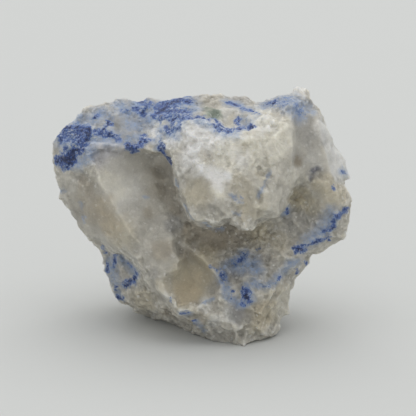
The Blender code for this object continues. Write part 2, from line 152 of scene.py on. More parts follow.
def patch(points, middle, radius, edge):
    """For every one of the points, 1 near the middle of a patch and 0 from its radius on.

    The higher the edge, the nearer to the radius it starts to fade.
    """
    away = np.linalg.norm(points - middle, axis=1) / radius
    return np.clip(edge * (1.0 - away), 0.0, 1.0)


# How much the crystals differ in tilt and in level, how deep the valleys between them are, and where in the
# noise their tilts and levels are drawn.
TILT = 1.6
LEVEL = 0.5
VALLEY = 0.8
TILT_DRAW = 5.3
LEVEL_DRAW = 9.7


def crystals(width):
    """The height of the broken crystals at every point, from about -1 to 1: flat faces with sharp edges.

    Each crystal is a plane with its own level and tilt, and at every point the lowest plane around it shows.
    """
    heights = []
    for spot in spots:
        here = Vector(spot) / width
        faces = []
        for middle in noise.voronoi(here)[1]:
            away = here - middle
            tilt = noise.cell_vector(middle * TILT_DRAW) - Vector((0.5, 0.5, 0.5))
            level = LEVEL * noise.cell(middle * LEVEL_DRAW)
            faces.append(level + TILT * tilt.dot(away) + VALLEY * away.length_squared)
        heights.append(min(faces))
    heights = np.array(heights)
    return heights - heights.mean()


# The smooth breaks: the middle of each, its radius, and the share of the crumbs that is left there.
SMOOTH_BREAKS = [
    (-12.0, 27.5, 6.5, 0.12), (-9.0, 23.5, 5.5, 0.20), (-6.5, 18.5, 4.0, 0.35), (-1.2, 11.0, 5.0, 0.10),
    (17.8, 33.5, 6.5, 0.22), (22.5, 31.0, 3.5, 0.25), (-6.8, 14.8, 3.5, 0.30), (-6.8, 9.6, 2.6, 0.20),
    (-18.0, 22.5, 5.5, 0.35), (2.6, 27.6, 3.4, 0.40), (0.0, 24.5, 3.4, 0.45), (12.5, 33.0, 3.5, 0.45),
    (12.5, 23.5, 3.5, 0.40), (5.5, 38.5, 4.5, 0.55), (-12.5, 36.5, 2.5, 0.40), (-6.5, 28.8, 3.2, 0.10),
    (2.5, 17.0, 3.0, 0.45), (-1.0, 26.5, 3.2, 0.30), (8.0, 26.5, 3.4, 0.35), (13.5, 28.0, 3.0, 0.45),
    (3.2, 24.6, 2.2, 0.40), (9.3, 22.8, 2.4, 0.40), (6.5, 31.8, 2.2, 0.50), (9.5, 35.0, 2.0, 0.50),
    (-13.5, 21.5, 4.0, 0.20), (-10.5, 17.5, 3.5, 0.30), (-15.5, 18.6, 3.0, 0.30), (-3.0, 22.5, 2.4, 0.40),
    (20.8, 25.0, 3.4, 0.35), (-22.0, 26.5, 2.4, 0.40), (6.6, 5.6, 2.4, 0.35), (14.5, 7.6, 2.4, 0.50),
]
# The same on the far side, where places are right of the stone's middle and up from the table.
FAR_SMOOTH_BREAKS = [
    (-6.0, 31.0, 6.5, 0.15), (11.0, 25.0, 5.5, 0.20), (-13.5, 17.0, 4.5, 0.25), (5.0, 11.0, 4.5, 0.30),
]
# How sharply they start.
BREAK_EDGE = 3.0


def crumbs_left():
    """The share of the crumbs that the smooth breaks leave at every point of the skin."""
    shares = np.ones(len(spots))
    from_front = seen(spots)
    for found, breaks in ((on_front, SMOOTH_BREAKS), (on_back, FAR_SMOOTH_BREAKS)):
        for across, up, radius, left in breaks:
            smooth = patch(from_front, found(across, up), radius, BREAK_EDGE)
            shares = np.minimum(shares, 1.0 + (left - 1.0) * smooth)
    return shares


crumbly = crumbs_left()

# Each size of crystal: its width and how far it stands up or lies deep.
CRYSTALS = [(3.0, 0.34), (1.5, 0.27), (0.75, 0.20)]
relief = sum(crystals(width) * rise for width, rise in CRYSTALS) * crumbly

# The shell-shaped break at the left: where the blow fell, the middle of the ripples around it, how far they
# reach and how sharply they end, and their width, their height and the way they wander.
BLOW = (-14.0, 36.0)
RIPPLES = (-11.5, 28.0)
RIPPLES_REACH = 6.0
RIPPLES_EDGE = 1.6
RIPPLE_WIDTH = 1.15
RIPPLE_HEIGHT = 0.022
RIPPLE_WANDER = (4.0, 1.3)
from_blow = np.linalg.norm(bent(*RIPPLE_WANDER) - on_front(*BLOW), axis=1)
on_shell = patch(seen(spots), on_front(*RIPPLES), RIPPLES_REACH, RIPPLES_EDGE)
relief += np.sin(from_blow * math.tau / RIPPLE_WIDTH) * RIPPLE_HEIGHT * on_shell

carved = spots + facing * relief[:, None]
carved[:, 2] = np.maximum(carved[:, 2], 0.0)
stone.data.vertices.foreach_set("co", (carved * MM).ravel())
stone.data.update()

# The flattest faces are merged, and the rest is worked out on the skin that is left.
thin = stone.modifiers.new("thin", "DECIMATE")
thin.ratio = SKIN_TRIANGLES / sum(len(face.vertices) - 2 for face in stone.data.polygons)
settle(stone)
for vert in stone.data.vertices:
    vert.co.z = max(vert.co.z, 0.0)
spots, facing, surface = skin_of(stone)
count = len(spots)
crumbly = crumbs_left()

# How far each point stands proud of the skin around it, or lies below it: fine and broad. The finish paints
# light onto what stands proud and shade into what lies below.
ends = np.empty(len(stone.data.edges) * 2, dtype=np.int64)
stone.data.edges.foreach_get("vertices", ends)
ends = ends.reshape(-1, 2)
neighbours = np.bincount(ends.ravel(), minlength=count)[:, None]
FINE_ROUNDS = 8
BROAD_ROUNDS = 80
# Light gets into the cracks through the quartz, so their painted shade counts for less than the painted light
# on the edges.
PAINTED_CRACK_SHADE_SHARE = 0.55


def proud(rounds):
    """How far the carved skin stands out from itself smoothed that many times over."""
    smooth = spots.copy()
    for _ in range(rounds):
        total = np.zeros_like(smooth)
        for axis in range(3):
            total[:, axis] += np.bincount(ends[:, 0], weights=smooth[ends[:, 1], axis], minlength=count)
            total[:, axis] += np.bincount(ends[:, 1], weights=smooth[ends[:, 0], axis], minlength=count)
        smooth = 0.5 * smooth + 0.5 * total / neighbours
    height = np.einsum("ij,ij->i", spots - smooth, facing)
    return np.where(height < 0.0, height * PAINTED_CRACK_SHADE_SHARE, height)


painted_relief_shading_fine = proud(FINE_ROUNDS)
painted_relief_shading_broad = proud(BROAD_ROUNDS)
stone.data.shade_smooth()

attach(stone, "root")
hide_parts("quartz_stone")

# The stone: the colours of its quartz.
# Sound milky quartz is grey and lets light in, crushed quartz is white, and iron has stained the cracks brown
# and yellow. In the hollows under the block, beside its left side and at the top of the scoop, the brown and
# grey are partly iron stain and partly painted shade. Each stain is laid on the skin where it shows: its
# tone, across, up, radius and strength.

MILKY = (0.60, 0.575, 0.51)
WHITE = (0.92, 0.91, 0.88)
CREAM = (0.86, 0.83, 0.72)
PALE_GREY = (0.72, 0.72, 0.69)
YELLOW = (0.62, 0.56, 0.42)
TAN = (0.665, 0.57, 0.405)
# Lilac: painted bluish shade, laid on the upper shell.
LILAC_PAINTED_SHADE = (0.47, 0.475, 0.55)
INKY = (0.12, 0.125, 0.16)
BROWN = (0.42, 0.36, 0.27)
SMOKY = (0.31, 0.305, 0.30)
GREENISH = (0.15, 0.21, 0.155)
STAINS = [
    # The big block: white crushed top, cream face, and a greyer foot whose grey is partly painted shade.
    (PALE_GREY, -3.0, 35.8, 3.0, 0.8), (WHITE, -2.8, 35.3, 2.2, 0.8), (WHITE, 1.0, 35.6, 3.8, 0.9),
    (WHITE, 5.0, 34.6, 3.6, 0.8), (CREAM, 9.0, 35.0, 4.2, 0.65), (CREAM, 13.2, 34.5, 4.6, 0.75),
    (CREAM, 5.5, 31.5, 4.6, 0.75), (CREAM, 10.0, 31.0, 4.4, 0.6), (WHITE, -1.0, 31.6, 3.2, 0.8),
    (WHITE, 2.2, 28.6, 2.0, 1.0), (CREAM, 3.0, 25.6, 1.8, 0.7), (WHITE, 10.5, 37.0, 2.4, 0.7),
    (YELLOW, -0.6, 25.4, 3.0, 0.65), (YELLOW, 7.0, 27.0, 2.4, 0.45), (YELLOW, 8.8, 23.4, 3.2, 0.7),
    (SMOKY, 9.0, 23.4, 2.4, 0.22),
    (WHITE, 0.4, 29.4, 1.4, 0.8), (WHITE, 4.3, 28.6, 1.5, 0.9), (WHITE, 3.0, 27.0, 1.3, 0.9),
    (YELLOW, 0.6, 31.2, 1.6, 0.5), (YELLOW, 7.2, 33.2, 1.4, 0.4), (YELLOW, 10.2, 28.6, 1.6, 0.4),
    (CREAM, 11.0, 24.5, 3.2, 0.35), (PALE_GREY, -2.8, 30.0, 1.8, 0.5), (WHITE, 7.0, 31.0, 1.8, 0.5),
    (WHITE, -7.2, 35.2, 1.8, 0.8), (WHITE, -6.0, 33.6, 1.6, 0.8), (WHITE, -4.6, 34.2, 1.5, 0.6),
    # The top behind the block, and the rim.
    (YELLOW, 2.0, 39.6, 3.6, 0.35), (PALE_GREY, 4.8, 38.6, 2.6, 0.6), (YELLOW, 5.6, 37.4, 1.8, 0.5),
    (GREENISH, 2.3, 38.6, 1.5, 0.9), (GREENISH, 1.2, 39.3, 1.1, 0.5), (CREAM, -7.0, 36.9, 1.1, 0.9),
    (SMOKY, -7.9, 36.6, 0.8, 0.7),
    (SMOKY, -12.0, 36.4, 3.6, 0.50), (SMOKY, -16.0, 38.6, 3.6, 0.25), (SMOKY, -10.0, 39.5, 3.4, 0.6),
    (SMOKY, 0.0, 40.4, 4.0, 0.25), (SMOKY, 6.5, 40.4, 3.0, 0.2),
    (CREAM, 10.5, 38.5, 3.0, 0.6), (WHITE, 16.5, 42.3, 1.4, 0.5),
    # The slab, the blade and the knob at the right.
    (SMOKY, 17.0, 35.5, 3.2, 0.28), (SMOKY, 15.6, 32.0, 1.6, 0.35), (SMOKY, 18.0, 36.0, 2.6, 0.22),
    (SMOKY, 18.6, 33.4, 2.4, 0.22), (PALE_GREY, 19.0, 31.0, 2.0, 0.3),
    # The white laid on the blade is partly painted light, for light shining through the thin quartz.
    (WHITE, 21.2, 38.0, 1.4, 0.5), (WHITE, 21.9, 35.2, 1.9, 0.6), (WHITE, 22.8, 32.4, 2.1, 0.7),
    (WHITE, 23.3, 29.8, 2.0, 0.7), (BROWN, 16.3, 30.8, 1.2, 0.8), (SMOKY, 20.4, 33.8, 0.9, 0.5),
    (SMOKY, 19.3, 29.3, 1.4, 0.8), (SMOKY, 18.8, 27.9, 1.2, 0.6),
    (INKY, 19.6, 29.7, 0.8, 0.9), (INKY, 18.6, 29.1, 0.5, 0.8), (INKY, 18.6, 28.0, 0.7, 0.8),
    (YELLOW, 20.5, 27.0, 2.6, 0.6),
    (YELLOW, 22.5, 24.8, 3.0, 0.6), (YELLOW, 16.3, 24.6, 2.6, 0.9), (YELLOW, 18.5, 23.2, 2.2, 0.5),
    (CREAM, 15.5, 28.0, 2.6, 0.35), (SMOKY, 16.6, 20.0, 3.4, 0.35), (SMOKY, 20.5, 21.0, 3.0, 0.35),
    # The hollow under the block and the hollow at its left side: partly iron stain and partly painted shade.
    (BROWN, 2.3, 17.6, 3.4, 0.7), (BROWN, 6.0, 18.6, 3.0, 0.5), (YELLOW, 9.8, 19.2, 2.8, 0.8),
    (BROWN, -1.5, 19.0, 2.6, 0.6), (SMOKY, -4.5, 20.2, 2.0, 0.7), (YELLOW, 1.0, 15.0, 2.8, 0.6),
    (BROWN, -5.0, 25.5, 2.4, 0.35), (BROWN, -6.7, 28.8, 2.6, 0.30), (BROWN, -7.2, 26.0, 2.0, 0.25),
    (BROWN, -3.6, 22.6, 1.8, 0.35), (YELLOW, 13.0, 17.0, 2.6, 0.4),
    # The shell, the left face and the wing.
    (PALE_GREY, -12.5, 25.5, 4.2, 0.35), (CREAM, -13.0, 26.5, 2.6, 0.25), (PALE_GREY, -14.6, 31.4, 3.0, 0.20),
    # The lilac on the upper shell is painted bluish shade.
    (LILAC_PAINTED_SHADE, -17.0, 32.4, 2.8, 0.50), (LILAC_PAINTED_SHADE, -14.2, 33.0, 2.2, 0.35),
    (BROWN, -18.0, 23.6, 4.0, 0.48), (BROWN, -16.0, 20.8, 3.0, 0.42), (PALE_GREY, -21.6, 27.4, 3.0, 0.1),
    (BROWN, -19.2, 27.0, 2.0, 0.35), (PALE_GREY, -16.5, 25.2, 1.2, 0.3), (YELLOW, -13.0, 18.6, 3.2, 0.45),
    (SMOKY, -20.5, 21.5, 2.0, 0.3), (BROWN, -8.6, 22.4, 1.4, 0.5), (TAN, -14.4, 19.8, 3.0, 0.45),
    (TAN, -16.0, 23.0, 2.6, 0.35), (CREAM, -15.2, 27.6, 2.0, 0.55), (CREAM, -13.8, 25.2, 1.8, 0.40),
    # The scoop with its bright rib, and the spur over it.
    (YELLOW, -1.4, 11.0, 5.0, 0.85), (TAN, -2.4, 8.9, 3.2, 0.75), (TAN, -1.0, 11.0, 2.4, 0.30),
    # The brown at the top of the scoop is painted shade, under the edge of the face beside it.
    (BROWN, -2.4, 15.4, 2.2, 0.35), (BROWN, 0.6, 13.5, 2.6, 0.15),
    (PALE_GREY, -6.8, 9.9, 1.5, 0.5), (PALE_GREY, -5.6, 8.2, 1.2, 0.5), (CREAM, -2.0, 6.2, 1.6, 0.5),
    (PALE_GREY, 0.6, 6.6, 1.5, 0.5), (SMOKY, -8.0, 12.0, 1.2, 0.4), (BROWN, -6.3, 16.0, 2.4, 0.50),
    (YELLOW, -6.6, 10.2, 1.8, 0.55),
    # The blue-grey quartz at the lower middle.
    (SMOKY, 5.3, 12.6, 2.8, 0.8), (SMOKY, 8.2, 13.4, 3.0, 0.5), (SMOKY, 6.6, 5.8, 2.8, 0.65),
    (SMOKY, 7.4, 9.2, 1.4, 0.5), (SMOKY, 11.0, 13.5, 3.0, 0.3), (YELLOW, 13.0, 8.4, 3.0, 0.35),
    (SMOKY, 3.0, 9.6, 2.0, 0.3), (PALE_GREY, 4.5, 5.0, 1.6, 0.6), (PALE_GREY, 2.4, 4.0, 1.4, 0.5),
    # The lump under the wing, and the foot.
    (SMOKY, -12.8, 12.6, 2.6, 0.35), (YELLOW, -9.3, 7.6, 2.8, 0.6), (CREAM, -8.8, 11.0, 1.3, 0.4),
    (BROWN, -5.2, 5.6, 1.8, 0.5), (BROWN, -0.5, 4.4, 2.6, 0.4), (YELLOW, 9.4, 4.4, 3.0, 0.7),
    (YELLOW, 11.2, 5.4, 2.6, 0.7), (BROWN, 10.8, 5.2, 2.8, 0.35),
    (SMOKY, 6.8, 4.8, 2.4, 0.5), (SMOKY, 2.4, 1.4, 2.0, 0.3), (CREAM, 14.0, 7.4, 2.2, 0.4),
    (CREAM, 12.8, 4.8, 2.0, 0.3),
]
# The far side, laid on from behind: right of the stone's middle, and up from the table.
FAR_STAINS = [
    (WHITE, -4.0, 34.0, 3.6, 0.7), (CREAM, -6.0, 29.0, 4.6, 0.7), (WHITE, 8.5, 30.0, 3.0, 0.6),
    (SMOKY, -11.0, 35.0, 3.6, 0.5), (SMOKY, 6.0, 36.5, 3.4, 0.45), (CREAM, 13.0, 26.0, 4.2, 0.6),
    (BROWN, 3.5, 23.0, 3.6, 0.6), (BROWN, -1.0, 20.0, 2.6, 0.55), (YELLOW, 9.0, 20.0, 4.0, 0.7),
    (BROWN, 17.0, 21.0, 2.6, 0.5), (YELLOW, -10.0, 22.5, 4.0, 0.6), (BROWN, -16.5, 24.5, 2.6, 0.5),
    (WHITE, -13.5, 17.0, 2.8, 0.6), (SMOKY, -8.5, 14.5, 3.0, 0.5), (YELLOW, -2.0, 9.5, 4.0, 0.6),
    (CREAM, 5.0, 12.0, 3.6, 0.7), (SMOKY, 12.5, 13.5, 3.4, 0.5), (BROWN, 7.5, 5.5, 2.6, 0.5),
    (WHITE, 1.5, 16.0, 1.8, 0.6), (WHITE, 20.5, 31.0, 2.6, 0.5), (YELLOW, 21.0, 25.5, 3.6, 0.6),
    (SMOKY, 19.5, 14.5, 3.0, 0.4), (CREAM, -21.0, 29.5, 3.2, 0.5), (BROWN, -19.5, 20.0, 2.6, 0.45),
    (WHITE, -15.5, 10.5, 2.4, 0.5), (SMOKY, -5.0, 3.5, 3.0, 0.4), (PALE_GREY, 15.5, 7.5, 3.0, 0.5),
]

# How the edges of the stains wander, and how sharp they are.
STAIN_WANDER = (1.5, 0.9)
STAIN_EDGE = 1.9
colour = np.tile(np.array(MILKY), (count, 1))
white = np.zeros(count)
wavy = bent(*STAIN_WANDER)
for found, stains in ((on_front, STAINS), (on_back, FAR_STAINS)):
    for tone, across, up, radius, strength in stains:
        share = patch(wavy, found(across, up), radius, STAIN_EDGE) * strength
        colour += (np.array(tone) - colour) * share[:, None]
        if tone == WHITE:
            white = np.maximum(white, share)

# The blade at the right edge is clearer than the slab beside it, and the light that shines through it is
# painted
# on as a paler colour: painted light. It starts at a sharp line: how far up, and how far across it is there.
# It fades out above and below.
BLADE_LINE = [(27.3, 22.4), (28.8, 21.7), (33.2, 20.5), (36.3, 20.0), (38.2, 20.0)]
BLADE_FOOT = 26.8
BLADE_TOP = 39.2
PAINTED_BLADE_GLOW = (0.82, 0.83, 0.81)
PAINTED_BLADE_GLOW_SHARE = 0.5


def fading_in(past, width):
    """From 0 to 1 over a width, for how far every point is past an edge."""
    return np.clip(past / width, 0.0, 1.0)


across, up = seen(spots)[:, :2].T
on_blade = fading_in(across - np.interp(up, *zip(*BLADE_LINE)), width=0.25)
on_blade *= fading_in(up - BLADE_FOOT, width=0.8)
on_blade *= fading_in(BLADE_TOP - up, width=2.0)
colour += (np.array(PAINTED_BLADE_GLOW) - colour) * PAINTED_BLADE_GLOW_SHARE * on_blade[:, None]

# The stone: its blue dumortierite.
# Fine blue needles that grew in the quartz: matted at the upper left, as a vein along the groove behind the
# block, and as flecks lower down. Each stroke has its strength, its half width and the way it runs.

# The strengths, from needles matted to navy down to a pale haze without any.
NAVY = 1.1
ROYAL = 0.85
WOVEN = 0.64
LOOSE = 0.44
FAINT = 0.24
HAZE = 0.0
BLUE_STROKES = [
    # The matted mass at the upper left edge.
    (HAZE, 1.5, [(-23.5, 34.7), (-22.3, 33.5), (-20.7, 34.0)]), (HAZE, 1.0, [(-21.3, 37.7), (-20.0, 38.3)]),
    (HAZE, 1.3, [(-19.0, 37.5), (-17.3, 38.0)]), (HAZE, 1.0, [(-20.3, 30.3), (-19.0, 31.0), (-18.3, 32.7)]),
    (HAZE, 1.2, [(-18.0, 34.2), (-16.5, 34.5), (-15.0, 34.5)]),
    (WOVEN, 0.9, [(-19.4, 33.8), (-19.5, 34.9), (-20.1, 36.0)]), (WOVEN, 0.6, [(-20.4, 32.0), (-19.6, 32.9)]),
    (WOVEN, 1.0, [(-20.8, 35.5), (-22.2, 35.5), (-23.0, 34.7)]),
    (WOVEN, 0.8, [(-21.3, 36.7), (-19.7, 36.5), (-18.7, 36.2)]),
    (WOVEN, 0.3, [(-23.3, 32.2), (-22.2, 32.9)]), (WOVEN, 0.4, [(-21.4, 33.2), (-20.5, 33.3)]),
    (WOVEN, 0.7, [(-23.8, 31.0), (-23.0, 30.0)]), (WOVEN, 0.8, [(-21.2, 34.2), (-20.0, 33.7)]),
    (NAVY, 1.0, [(-21.5, 31.8), (-22.0, 30.7)]), (NAVY, 0.7, [(-23.7, 31.0), (-22.7, 31.3)]),
    (NAVY, 0.5, [(-22.3, 29.8), (-21.3, 30.7)]), (NAVY, 0.5, [(-21.2, 32.8), (-20.2, 32.7)]),
    (NAVY, 0.3, [(-19.3, 35.5), (-20.0, 34.7), (-20.3, 34.0)]),
    (NAVY, 0.4, [(-18.7, 36.3), (-18.7, 35.3), (-19.0, 34.2)]),
    (NAVY, 0.3, [(-22.3, 36.5), (-21.0, 36.5), (-19.8, 36.5)]), (NAVY, 0.2, [(-23.2, 35.3), (-22.8, 36.2)]),
    (WOVEN, 1.0, [(-22.6, 36.0), (-21.4, 35.4), (-20.2, 34.6)]), (WOVEN, 0.3, [(-23.2, 34.2), (-22.2, 34.6)]),
    (HAZE, 1.5, [(-18.5, 35.6), (-16.2, 35.3), (-13.8, 34.6)]), (HAZE, 1.2, [(-20.5, 36.8), (-18.6, 37.2)]),
    # The streaks from there to the brow of the shell, and the cluster on the brow.
    (HAZE, 1.0, [(-17.8, 37.8), (-16.8, 38.5)]), (WOVEN, 0.3, [(-17.7, 38.0), (-17.0, 38.4)]),
    (WOVEN, 0.6, [(-18.2, 35.6), (-16.6, 35.5), (-14.9, 35.2), (-13.5, 34.5)]),
    (WOVEN, 0.5, [(-17.3, 35.8), (-16.2, 35.8)]), (WOVEN, 0.4, [(-15.6, 36.9), (-14.9, 37.2)]),
    (ROYAL, 0.4, [(-15.5, 37.3), (-14.8, 37.0)]), (ROYAL, 0.3, [(-15.8, 36.5), (-16.3, 35.8)]),
    (ROYAL, 0.25, [(-14.6, 35.2), (-13.7, 34.6)]),
    (HAZE, 0.7, [(-12.7, 34.3), (-11.3, 34.7), (-10.0, 35.0)]), (HAZE, 0.5, [(-9.3, 34.2), (-7.7, 34.2)]),
    (WOVEN, 0.7, [(-12.2, 33.5), (-11.0, 33.0), (-10.0, 33.7), (-9.3, 34.5)]),
    (WOVEN, 0.4, [(-11.2, 32.3), (-10.3, 32.5)]), (WOVEN, 0.3, [(-9.7, 35.0), (-9.3, 35.3)]),
    (ROYAL, 0.4, [(-12.2, 33.3), (-11.2, 32.8), (-10.3, 33.3), (-9.8, 34.0)]),
    (ROYAL, 0.2, [(-9.5, 34.3), (-8.3, 34.2)]), (HAZE, 0.7, [(-6.7, 35.8), (-6.7, 34.3), (-7.0, 33.0)]),
    (WOVEN, 0.4, [(-6.5, 34.2), (-6.2, 33.2)]),
    (WOVEN, 0.4, [(-6.7, 33.0), (-6.2, 32.2), (-5.3, 31.3), (-4.8, 30.3)]),
    (ROYAL, 0.3, [(-6.2, 32.3), (-5.3, 31.5), (-4.8, 30.5)]),
    # The top, from the left to the middle.
    (HAZE, 1.0, [(-13.2, 39.2), (-11.7, 39.5), (-10.5, 39.0)]),
    (HAZE, 1.2, [(-11.0, 40.3), (-9.3, 40.2), (-8.0, 39.7)]), (HAZE, 0.8, [(-10.2, 38.2), (-8.8, 38.5)]),
    (WOVEN, 0.3, [(-13.0, 39.2), (-12.2, 39.3)]), (WOVEN, 0.5, [(-10.2, 38.8), (-9.3, 39.3)]),
    (HAZE, 0.8, [(-8.3, 39.0), (-7.0, 37.8)]), (HAZE, 1.3, [(-3.0, 40.0), (-1.7, 40.2), (-1.2, 39.3)]),
    (HAZE, 0.8, [(-6.7, 36.3), (-5.3, 35.0), (-4.0, 35.0)]),
    (WOVEN, 0.8, [(-7.5, 38.7), (-6.2, 39.3), (-5.0, 40.3), (-3.3, 41.0), (-1.8, 40.8)]),
    (WOVEN, 0.8, [(-4.7, 39.0), (-3.3, 39.2), (-2.3, 39.0)]),
    (WOVEN, 0.8, [(-4.5, 38.0), (-3.3, 38.0), (-2.2, 38.3)]),
    (WOVEN, 0.6, [(-4.3, 36.5), (-5.0, 35.8), (-5.8, 36.2)]), (WOVEN, 0.5, [(-3.5, 37.3), (-3.7, 36.2)]),
    (WOVEN, 0.3, [(-5.7, 38.0), (-6.7, 37.3)]),
    (ROYAL, 0.6, [(-7.7, 38.5), (-6.7, 39.0), (-5.7, 39.8), (-4.5, 40.8), (-3.2, 41.2)]),
    (ROYAL, 0.3, [(-2.3, 41.0), (-1.7, 41.0)]), (ROYAL, 0.3, [(-4.7, 39.3), (-4.0, 40.0)]),
    (ROYAL, 0.4, [(-4.7, 38.2), (-4.5, 37.0)]), (ROYAL, 0.2, [(-6.0, 37.7), (-5.0, 37.5)]),
    (HAZE, 1.3, [(-16.6, 38.8), (-15.0, 38.0)]), (HAZE, 1.4, [(-13.6, 40.0), (-12.2, 38.6)]),
    (HAZE, 1.5, [(-9.8, 40.4), (-8.2, 39.0), (-8.6, 37.6)]), (HAZE, 1.3, [(-12.0, 37.2), (-10.2, 36.6)]),
    (WOVEN, 0.8, [(-9.6, 40.6), (-8.4, 40.2)]), (WOVEN, 0.6, [(-10.8, 39.6), (-9.4, 38.6)]),
    (WOVEN, 1.1, [(-7.0, 39.6), (-5.6, 40.2), (-3.6, 40.9)]),
    (WOVEN, 0.9, [(-6.4, 38.4), (-5.4, 39.0)]), (ROYAL, 0.6, [(-7.0, 39.6), (-6.0, 39.2)]),
    (ROYAL, 0.7, [(-6.0, 39.8), (-4.8, 40.5), (-3.4, 41.0)]),
    (HAZE, 1.6, [(-6.6, 39.8), (-4.0, 40.4), (-1.6, 40.0)]),
    (HAZE, 1.4, [(-5.0, 38.6), (-3.6, 37.2), (-4.6, 35.6)]),
    # The vein along the groove behind the block, and the thin one beyond it.
    (HAZE, 0.8, [(-0.7, 37.5), (1.0, 37.3), (2.5, 36.3), (4.0, 35.3), (6.0, 35.5)]),
    (HAZE, 0.8, [(4.3, 40.7), (6.0, 40.2), (7.7, 39.5), (9.3, 38.8)]),
    (HAZE, 0.7, [(7.2, 37.8), (8.3, 37.3)]),
    (WOVEN, 0.4, [(-2.3, 38.0), (-0.7, 38.0), (0.7, 38.0), (2.0, 37.7), (3.0, 37.2), (3.8, 36.5)]),
    (WOVEN, 0.5, [(2.3, 36.7), (3.2, 36.0), (4.3, 35.8), (5.7, 36.0), (7.2, 36.3), (8.8, 36.5)]),
    (WOVEN, 0.6, [(6.3, 37.8), (6.3, 37.2)]),
    (WOVEN, 0.4, [(4.5, 40.5), (5.7, 40.2), (6.8, 39.7), (8.2, 39.2), (9.5, 38.8)]),
    (ROYAL, 0.3, [(2.5, 37.5), (3.5, 36.7), (4.5, 36.2), (5.8, 36.2)]),
    (ROYAL, 0.3, [(7.2, 36.3), (8.7, 36.3)]), (ROYAL, 0.2, [(6.2, 38.0), (6.5, 37.5)]),
    # The right shoulder.
    (HAZE, 1.2, [(14.0, 41.3), (15.5, 41.2), (16.8, 40.2), (17.7, 39.7)]),
    (HAZE, 1.2, [(14.3, 40.0), (15.7, 39.3), (16.5, 38.3)]), (HAZE, 0.7, [(17.8, 39.2), (18.8, 39.0)]),
    (HAZE, 1.3, [(13.6, 40.6), (15.2, 40.4), (16.8, 39.4)]), (HAZE, 1.1, [(10.4, 40.0), (12.4, 40.6)]),
    (FAINT, 1.1, [(13.2, 41.0), (15.0, 40.9), (16.6, 39.9), (17.2, 38.8)]),
    (FAINT, 0.9, [(10.8, 40.0), (12.2, 40.6), (14.0, 40.2)]), (WOVEN, 0.35, [(11.4, 40.5), (12.6, 40.8)]),
    (FAINT, 0.4, [(15.7, 38.0), (16.5, 38.5)]), (ROYAL, 0.35, [(11.7, 40.6), (12.3, 40.4)]),
    # Faint streaks in the face of the block, and along its lip.
    (HAZE, 0.25, [(11.6, 29.2), (11.2, 28.0), (10.4, 26.4), (9.6, 24.8)]),
    (HAZE, 0.3, [(5.2, 25.2), (6.0, 24.4), (7.0, 23.8)]), (HAZE, 0.25, [(5.4, 22.2), (6.6, 21.8)]),
    (HAZE, 0.3, [(-3.9, 27.6), (-3.8, 26.6)]), (HAZE, 0.3, [(-2.6, 23.4), (-1.8, 22.0), (-1.2, 21.2)]),
    (HAZE, 0.4, [(0.7, 20.5), (2.3, 19.5), (3.7, 19.7)]),
    (FAINT, 0.2, [(12.0, 27.5), (11.0, 27.0), (10.3, 25.8), (10.0, 24.7)]),
    (FAINT, 0.3, [(5.3, 24.8), (6.0, 24.8)]), (WOVEN, 0.15, [(6.8, 24.8), (7.1, 24.6)]),
    # The blade, the knob and the vein on the shelf under them.
    (HAZE, 0.7, [(23.7, 29.0), (24.3, 28.8)]), (WOVEN, 0.3, [(23.8, 29.0), (24.0, 28.7)]),
    (WOVEN, 0.3, [(22.2, 26.7), (22.2, 26.2)]),
    (HAZE, 1.2, [(22.0, 22.3), (21.0, 20.3), (19.7, 18.5), (18.0, 17.5)]),
    (WOVEN, 0.55, [(24.0, 22.3), (22.8, 21.5), (22.0, 20.3), (21.7, 19.3)]),
    (WOVEN, 0.5, [(20.8, 19.0), (21.8, 19.3)]),
    (WOVEN, 0.4, [(21.5, 18.3), (20.3, 17.7), (19.0, 17.3), (17.8, 16.7)]),
    (WOVEN, 0.8, [(16.0, 16.2), (17.0, 16.0)]), (ROYAL, 0.4, [(23.3, 21.9), (22.7, 21.2)]),
    (ROYAL, 0.4, [(24.0, 22.8), (24.5, 23.0)]), (ROYAL, 0.5, [(21.5, 19.3), (22.2, 19.8)]),
    (ROYAL, 0.3, [(21.3, 18.2), (21.5, 17.8)]), (ROYAL, 0.7, [(16.0, 16.2), (16.8, 16.0)]),
    (ROYAL, 0.3, [(17.3, 16.7), (18.3, 17.0)]), (ROYAL, 0.2, [(18.5, 17.2), (20.0, 17.5)]),
    (HAZE, 0.7, [(14.0, 22.0), (14.7, 22.8)]), (WOVEN, 0.4, [(14.3, 22.8), (14.5, 22.3)]),
    # Flecks down the right side and over the lower middle.
    (HAZE, 0.7, [(16.3, 14.0), (15.0, 13.7), (14.2, 12.7), (13.0, 11.5)]),
    (HAZE, 0.8, [(12.3, 10.5), (10.7, 10.0), (9.0, 10.5)]), (WOVEN, 0.3, [(16.0, 12.7), (16.2, 12.2)]),
    (WOVEN, 0.3, [(17.5, 14.2), (17.7, 13.7)]), (WOVEN, 0.3, [(13.0, 11.0), (13.5, 11.5)]),
    (WOVEN, 0.2, [(11.3, 9.5), (11.8, 9.8)]), (HAZE, 1.3, [(6.0, 13.3), (7.7, 13.3), (9.0, 13.7)]),
    (HAZE, 0.7, [(5.0, 14.0), (4.0, 13.2)]), (LOOSE, 0.8, [(3.5, 12.2), (3.7, 11.2)]),
    (HAZE, 0.9, [(3.4, 12.0), (3.6, 11.0)]),
    (WOVEN, 0.3, [(1.8, 13.2), (2.5, 12.8)]), (LOOSE, 0.8, [(6.0, 14.0), (6.8, 14.3), (7.3, 15.2)]),
    (HAZE, 1.2, [(7.3, 13.8), (8.7, 13.0), (9.5, 12.6)]), (WOVEN, 0.2, [(9.6, 16.2), (9.8, 16.0)]),
    (WOVEN, 0.2, [(6.2, 14.2), (6.7, 14.0)]), (HAZE, 1.0, [(6.2, 14.2), (7.3, 15.4)]),
    (HAZE, 0.8, [(4.3, 9.7), (4.7, 8.2), (6.0, 7.3), (7.3, 7.0)]), (HAZE, 0.7, [(8.7, 7.8), (7.7, 10.3)]),
